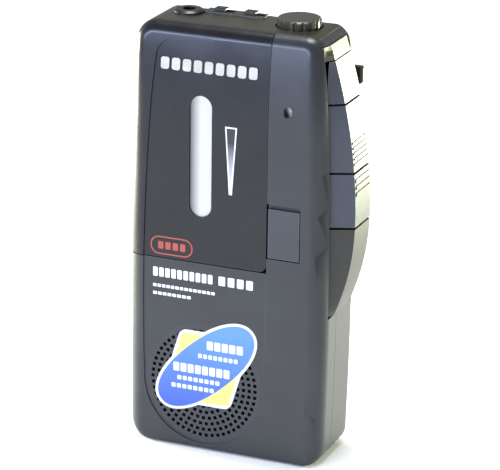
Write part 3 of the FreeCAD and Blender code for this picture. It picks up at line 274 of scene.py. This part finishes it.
# ---------------------------------------------------------------------------------------------
# Lid window
# A milky polished acrylic lens that fills the round-ended slot. It is cream, with painted shade
# that greys its left side, and it has fine scuffs.
# ---------------------------------------------------------------------------------------------

WINDOW_PAINTED_SHADE, WINDOW_CREAM = -13.6, -10.6

window_finish, tree, shader = start_material("acrylic_lens_painted_shade")
# Painted shade: grey up to the left end of the run, fading to the lens's own cream towards the
# right.
tint_along(tree, shader, "X", WINDOW_PAINTED_SHADE, WINDOW_CREAM, "#6b6860", "#d2d0c8")
scuffs = noise(tree, mapped(tree, 0.9), 5.0)
tree.links.new(ranged(tree, scuffs, low=0.12, high=0.3), shader.inputs["Roughness"])
wear_on(("lid_window",), window_finish)

# ---------------------------------------------------------------------------------------------
# Bright row on the lid
# Nine plain plated tablets, set into the lid's face in a row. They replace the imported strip.
# ---------------------------------------------------------------------------------------------

PANEL_FRONT = -11.85
NOSE_LEVEL = 96.0
NOSE_BEND = 134.6
SUNK = 0.05
METAL_GRAIN = 0.6
METAL_DEPTH = 0.003


def panel_depth(z):
    """Depth of the sunk panel's face at a height: flat, then an arc that leans back."""
    over = np.maximum(np.asarray(z, dtype=float) - NOSE_LEVEL, 0.0)
    return PANEL_FRONT + NOSE_BEND - np.sqrt(NOSE_BEND ** 2 - over ** 2)


def rounded_box(x0, x1, z0, z1, radius, steps=6):
    """Outline of a rectangle with round corners, anticlockwise seen from the front."""
    centres = ((x1 - radius, z1 - radius), (x0 + radius, z1 - radius),
               (x0 + radius, z0 + radius), (x1 - radius, z0 + radius))
    angles = np.linspace(0, math.pi / 2, steps + 1)
    runs = [np.column_stack((cx + radius * np.cos(angles + k * math.pi / 2),
                             cz + radius * np.sin(angles + k * math.pi / 2)))
            for k, (cx, cz) in enumerate(centres)]
    return np.vstack(runs)


def slab(outline, proud):
    """Points and faces of a closed slab that follows the panel's face under an outline.

    Its back lies just under the face and its front stands proud of it by the given height."""
    outline = np.asarray(outline)
    count = len(outline)
    depth = panel_depth(outline[:, 1])
    back = np.column_stack((outline[:, 0], depth + SUNK, outline[:, 1]))
    front = np.column_stack((outline[:, 0], depth - proud, outline[:, 1]))
    faces = [tuple(range(count)), tuple(range(2 * count - 1, count - 1, -1))]
    faces += [(k, count + k, count + (k + 1) % count, (k + 1) % count) for k in range(count)]
    return np.vstack((back, front)), faces


def ring(outer, inner, proud):
    """Points and faces of a closed flat ring between two outlines of as many points."""
    count = len(outer)
    rows = []
    for line, lift in ((outer, -SUNK), (outer, proud), (inner, proud), (inner, -SUNK)):
        line = np.asarray(line)
        rows.append(np.column_stack((line[:, 0], panel_depth(line[:, 1]) - lift, line[:, 1])))
    faces = []
    for row in range(4):
        below, above = row * count, ((row + 1) % 4) * count
        faces += [(below + k, above + k, above + (k + 1) % count, below + (k + 1) % count)
                  for k in range(count)]
    return np.vstack(rows), faces


def bar_line(left, right, low, high, count, gap, corner, proud):
    """A number of equal slabs in a line between two ends, with gaps between them."""
    step = (right - left + gap) / count
    return [slab(rounded_box(left + k * step, left + (k + 1) * step - gap, low, high, corner),
                 proud) for k in range(count)]


def merge(parts):
    """Several (points, faces) pairs as one pair."""
    points, faces, shift = [], [], 0
    for some_points, some_faces in parts:
        points.append(some_points)
        faces += [tuple(index + shift for index in face) for face in some_faces]
        shift += len(some_points)
    return np.vstack(points), faces


def metal(name, colour, darker, roughness, stretch=(1.0, 1.0, 1.0)):
    """Bare or plated metal: a stretched grain in its roughness, tarnish in its colour."""
    material, tree, shader = start_material(name)
    fine = noise(tree, mapped(tree, METAL_GRAIN, stretch), 3.0)
    broad = noise(tree, mapped(tree, 6.0), 4.0)
    tint(tree, shader, broad, colour, darker)
    gloss = ranged(tree, fine, low=roughness - 0.08, high=roughness + 0.1)
    tree.links.new(gloss, shader.inputs["Roughness"])
    bumped(tree, shader, fine, METAL_DEPTH, 0.4)
    shader.inputs["Metallic"].default_value = 1.0
    return material


TABLET_ROW = (-22.5, 5.7, 109.4, 112.7)  # left, right, low, high
TABLETS, TABLET_GAP, TABLET_CORNER, TABLET_PROUD = 9, 0.75, 0.7, 0.3
tablets = bar_line(*TABLET_ROW, TABLETS, TABLET_GAP, TABLET_CORNER, TABLET_PROUD)
bright_row = mesh_piece("bright_row", *merge(tablets),
                        metal("bright_nickel_plate", "#bdb9a8", "#8a8672", 0.34))
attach(bright_row, "lid")
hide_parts("nameplate")

# ---------------------------------------------------------------------------------------------
# Printed marks on the lid: wedge scale and pill outline
# Pad-printed ink, a few hundredths of a millimetre thick, matt and slightly uneven at its edge.
# The wedge fades from the lid's colour to silver towards its tip.
# ---------------------------------------------------------------------------------------------

INK_PROUD = 0.03
INK_ROUGHNESS = 0.5


def ink(name, colour, worn):
    """Printed ink: small pinholes and a faint orange-peel surface."""
    material, tree, shader = start_material(name)
    specks = noise(tree, mapped(tree, 0.35), 4.0)
    tint(tree, shader, ranged(tree, specks, 0.58, 0.8, 0.0, 0.6), colour, worn)
    bumped(tree, shader, specks, 0.003, 0.4)
    shader.inputs["Roughness"].default_value = INK_ROUGHNESS
    return material


white_ink = ink("pad_printed_white", "#eef0f0", "#b9bcc0")
red_ink = ink("pad_printed_red", "#ad4a3c", "#7d3e38")

WEDGE_TOP, WEDGE_TIP, WEDGE_MIDDLE = 95.5, 76.3, -1.55
WEDGE_FADED = 91.0


def wedge(half_top, half_tip, top, tip):
    """Outline of the wedge from its half widths and its levels at top and tip."""
    return np.array([(WEDGE_MIDDLE - half_top, top), (WEDGE_MIDDLE - half_tip, tip),
                     (WEDGE_MIDDLE + half_tip, tip), (WEDGE_MIDDLE + half_top, top)])


wedge_outer = wedge(1.75, 0.45, WEDGE_TOP, WEDGE_TIP)
wedge_inner = wedge(1.32, 0.12, WEDGE_TOP - 0.45, WEDGE_TIP + 0.4)
wedge_outline = mesh_piece("wedge_outline", *ring(wedge_outer, wedge_inner, INK_PROUD),
                           white_ink)
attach(wedge_outline, "lid")

wedge_ink, tree, shader = start_material("fading_silver_ink")
tint_along(tree, shader, "Z", WEDGE_TIP, WEDGE_FADED, "#e8eaec", "#2a2b30")
dots = noise(tree, mapped(tree, 0.3), 2.0)
tree.links.new(ranged(tree, dots, low=0.35, high=0.6), shader.inputs["Roughness"])
wedge_fill = mesh_piece("wedge_fill", *slab(wedge_inner[::-1], INK_PROUD - 0.01), wedge_ink)
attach(wedge_fill, "lid")

PILL_LEFT, PILL_RIGHT, PILL_LOW, PILL_HIGH = -25.3, -12.6, 56.3, 61.6
PILL_ROUND, PILL_LINE = 2.6, 0.38
pill_outer = rounded_box(PILL_LEFT, PILL_RIGHT, PILL_LOW, PILL_HIGH, PILL_ROUND, steps=10)
pill_inner = rounded_box(PILL_LEFT + PILL_LINE, PILL_RIGHT - PILL_LINE, PILL_LOW + PILL_LINE,
                         PILL_HIGH - PILL_LINE, PILL_ROUND - PILL_LINE, steps=10)
pill_marks = [ring(pill_outer, pill_inner, INK_PROUD)]
pill_marks += bar_line(-23.0, -14.8, 57.9, 60.1, 4, 0.6, 0.3, INK_PROUD)
pill_print = mesh_piece("pill_print", *merge(pill_marks), red_ink)
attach(pill_print, "lid")

# ---------------------------------------------------------------------------------------------
# Printed bars under the lid
# Three lines of plain white bars in place of words, pad-printed on the front cover.
# ---------------------------------------------------------------------------------------------

PRINTED_LINES = (  # left, right, low, high, count, gap, corner
    (-24.5, -6.6, 49.7, 52.4, 10, 0.45, 0.3),
    (-4.8, 5.4, 49.7, 52.4, 4, 0.75, 0.3),
    (-24.5, -5.9, 46.6, 47.5, 14, 0.3, 0.15),
    (-24.5, -13.1, 44.3, 45.2, 8, 0.3, 0.15),
)
printed_parts = [part for line in PRINTED_LINES for part in bar_line(*line, INK_PROUD)]
printed_bars = mesh_piece("printed_bars", *merge(printed_parts), white_ink)
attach(printed_bars, "root")

# ---------------------------------------------------------------------------------------------
# Sticker on the speaker grille
# A die-cut vinyl label: a slanted yellow card with a blue oval across it, a white margin round
# both, and white bars in place of words. Each printed layer lies on the one below.
# ---------------------------------------------------------------------------------------------

OVAL_CENTRE = (-8.4, 25.1)
OVAL_LONG, OVAL_SHORT = 17.9, 7.5
OVAL_TILT = math.radians(41.6)
OVAL_POWER = 0.92
CARD_LOW, CARD_HIGH, CARD_SLANT = 13.9, 34.6, 0.3
CARD_LEFT, CARD_WIDE, CARD_CORNER = -21.9, 20.4, 1.3
MARGIN = 0.85
LABEL_LOW, LABEL_HIGH = 12, 36
VINYL_ROUGHNESS = 0.4
BAR_GAP, BAR_CORNER, BAR_PROUD = 0.4, 0.3, 0.11


def oval(grow, count=96):
    """A tilted superellipse: an ellipse whose flanks are a little fuller."""
    turn = np.linspace(0, 2 * math.pi, count, endpoint=False)
    along = (OVAL_LONG + grow) * np.sign(np.cos(turn)) * np.abs(np.cos(turn)) ** OVAL_POWER
    across = (OVAL_SHORT + grow) * np.sign(np.sin(turn)) * np.abs(np.sin(turn)) ** OVAL_POWER
    cos_tilt, sin_tilt = math.cos(OVAL_TILT), math.sin(OVAL_TILT)
    return np.column_stack((OVAL_CENTRE[0] + along * cos_tilt - across * sin_tilt,
                            OVAL_CENTRE[1] + along * sin_tilt + across * cos_tilt))


def card(grow):
    """A rectangle with round corners, sheared so that its top leans right."""
    flat = rounded_box(CARD_LEFT - grow, CARD_LEFT + CARD_WIDE + grow, CARD_LOW - grow,
                       CARD_HIGH + grow, CARD_CORNER + grow)
    return np.column_stack((flat[:, 0] + CARD_SLANT * (flat[:, 1] - CARD_LOW), flat[:, 1]))


def vinyl(name, low_tone, high_tone):
    """Printed vinyl: a tone that shifts up the label, a faint grain, a satin face."""
    material, tree, shader = start_material(name)
    tint_along(tree, shader, "Z", LABEL_LOW, LABEL_HIGH, low_tone, high_tone)
    bumped(tree, shader, noise(tree, mapped(tree, 0.5), 3.0), 0.004, 0.3)
    shader.inputs["Roughness"].default_value = VINYL_ROUGHNESS
    return material


white_vinyl = vinyl("printed_vinyl_white", "#dededc", "#e8e8e8")
yellow_vinyl = vinyl("printed_vinyl_yellow", "#f0ea78", "#f3ec7c")
blue_vinyl = vinyl("printed_vinyl_blue", "#3d5cdc", "#5d90f0")
STICKER_LAYERS = (  # name, parts, finish
    ("sticker_base", [slab(oval(MARGIN), 0.05), slab(card(MARGIN - 0.2), 0.045)], white_vinyl),
    ("sticker_card", [slab(card(-0.3), 0.07)], yellow_vinyl),
    ("sticker_oval", [slab(oval(0.0), 0.09)], blue_vinyl),
)
for name, parts, finish in STICKER_LAYERS:
    layer = mesh_piece(name, *merge(parts), finish)
    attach(layer, "root")

STICKER_LINES = (  # left, right, low, high, count
    (-8.1, 2.7, 30.2, 32.8, 5),
    (-10.7, 1.2, 27.4, 28.7, 8),
    (-18.2, -1.2, 22.5, 25.1, 8),
    (-17.0, -4.2, 20.0, 21.3, 8),
    (-18.8, -5.9, 17.5, 18.8, 8),
)
sticker_parts = [part for line in STICKER_LINES
                 for part in bar_line(*line, BAR_GAP, BAR_CORNER, BAR_PROUD)]
sticker_bars = mesh_piece("sticker_bars", *merge(sticker_parts), white_vinyl)
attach(sticker_bars, "root")

# ---------------------------------------------------------------------------------------------
# Side keys
# Three blue-grey satin keys that rock or press; their corners are rubbed paler. The record key
# carries a small printed rose dot on its outer face.
# ---------------------------------------------------------------------------------------------

key_abs = moulded("moulded_abs_key", "#44474f", "#767c84", 0.42, grain=0.14, specular=0.4)
wear_on(("play_key", "wind_key", "record_key"), key_abs)

# ---------------------------------------------------------------------------------------------
# Top: plate, dial, slider knobs, jacks and record lamp
# The deck and the dial are olive-black ABS. The knobs and collars are black acetal. The lamp's
# lens is smoked acrylic.
# ---------------------------------------------------------------------------------------------

wear_on(("top_plate",), moulded("moulded_abs_deck", "#2b2a1c", "#6d6c50", 0.34))
wear_on(("volume_dial",), moulded("moulded_abs_dial", "#2c2a1e", "#85846a", 0.3))
wear_on(("speed_knob", "voice_knob", "pause_slider", "earphone_jack", "microphone_jack",
         "power_jack"), moulded("moulded_acetal_black", "#141413", "#4c4c46", 0.32, grain=0.2))
wear_on(("record_lamp_lens",),
        moulded("smoked_acrylic_lens", "#3a3a22", "#a8aa88", 0.12, wear=0.5))

# ---------------------------------------------------------------------------------------------
# Parts seen when the lid or the battery door is open: cassette, tape drive, heads and cells
# Each has its own real finish: grey styrene cassette, white acetal hubs, brown tape, plated
# steel sheet, turned brass, ground rubber, foil-sleeved cells.
# ---------------------------------------------------------------------------------------------

wear_on(("cassette_shell",), moulded("moulded_styrene_grey", "#3d3e40", "#77797c", 0.38))
wear_on(("take_up_hub", "supply_hub", "take_up_spindle", "supply_spindle"),
        moulded("moulded_acetal_white", "#e6e5df", "#f6f6f2", 0.35, grain=0.25))
wear_on(("chassis_plate", "head_plate", "speaker_frame", "motor_can", "microphone_capsule",
         "volume_pot", "switch_bodies"), metal("zinc_plated_sheet", "#c9c8bf", "#9c9b90", 0.38))
wear_on(("hinge_pins", "key_pivot_pins", "key_spring_leaves", "lid_spring", "case_screws",
         "chassis_screws", "cassette_screws", "battery_contacts", "capstan_shaft"),
        metal("ground_steel", "#b9babb", "#8b8c8e", 0.3, stretch=(1.0, 1.0, 0.1)))
wear_on(("play_head", "erase_head"),
        metal("lapped_mumetal", "#d6d3cb", "#a9a69c", 0.2, stretch=(1.0, 1.0, 0.05)))
wear_on(("flywheel", "motor_pulley", "shaft_bushes"),
        metal("turned_brass", "#cfae62", "#9a7c3c", 0.28))
wear_on(("drive_belt", "pinch_roller", "idler_wheel", "microphone_boot"),
        moulded("ground_rubber", "#141414", "#343434", 0.62, grain=0.2, depth=0.01,
                specular=0.3))
wear_on(("speaker_magnet",), moulded("sintered_ferrite", "#2c2c2d", "#505052", 0.6, grain=0.1))
wear_on(("speaker_cone", "grille_cloth"),
        moulded("pressed_black_paper", "#0e0e0e", "#262626", 0.85, grain=0.3, depth=0.02,
                specular=0.2))
wear_on(("circuit_boards",),
        moulded("green_epoxy_laminate", "#1c4a28", "#3f7a48", 0.3, grain=0.4))
wear_on(("board_chips",), moulded("moulded_epoxy_black", "#121214", "#3a3a3c", 0.5))
wear_on(("capacitors", "battery_cells"),
        moulded("foil_sleeve_blue", "#27375c", "#8a98b8", 0.25, grain=0.5))

# Wound tape: fine rings about each reel's own axis, brown oxide edge-on.
REEL_X = -11.3
TAPE_RINGS = 1500.0
for reel, reel_z in (("take_up_tape", 73.3), ("supply_tape", 98.7)):
    finish, tree, shader = start_material(f"wound_tape_{reel}")
    place = add(tree, "ShaderNodeTexCoord").outputs["Object"]
    centred = add(tree, "ShaderNodeMapping",
                  {"Vector": place, "Location": (-REEL_X * MM, 0.0, -reel_z * MM)})
    rings = add(tree, "ShaderNodeTexWave",
                {"Vector": centred.outputs["Vector"], "Scale": TAPE_RINGS, "Distortion": 0.0},
                wave_type="RINGS", rings_direction="Y")
    tint(tree, shader, rings.outputs["Fac"], "#2c1a10", "#4a2e1e")
    bumped(tree, shader, rings.outputs["Fac"], 0.01, 0.5)
    shader.inputs["Roughness"].default_value = 0.3
    wear_on((reel,), finish)

# The record key's dot: an ink disc laid on the key's outer face, which leans in as it rises.
DOT_LEVEL, DOT_DEPTH, DOT_RADIUS = 111.2, 1.0, 1.4
SWELL_REACH, SWELL_LEVEL, SWELL_BEND = 32.17, 71.0, 148.04
turn = np.linspace(0, 2 * math.pi, 40, endpoint=False)
dot_points = []
for lift in (-SUNK, INK_PROUD):
    z = DOT_LEVEL + DOT_RADIUS * np.sin(turn)
    x = SWELL_REACH - SWELL_BEND + np.sqrt(SWELL_BEND ** 2 - (z - SWELL_LEVEL) ** 2) + lift
    dot_points.append(np.column_stack((x, DOT_DEPTH + DOT_RADIUS * np.cos(turn), z)))
count = len(turn)
dot_faces = [tuple(range(count - 1, -1, -1)), tuple(range(count, 2 * count))]
dot_faces += [(k, (k + 1) % count, count + (k + 1) % count, count + k) for k in range(count)]
record_dot = mesh_piece("record_dot", np.vstack(dot_points), dot_faces,
                        ink("pad_printed_rose", "#e08a94", "#c06a74"))
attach(record_dot, "record_key")
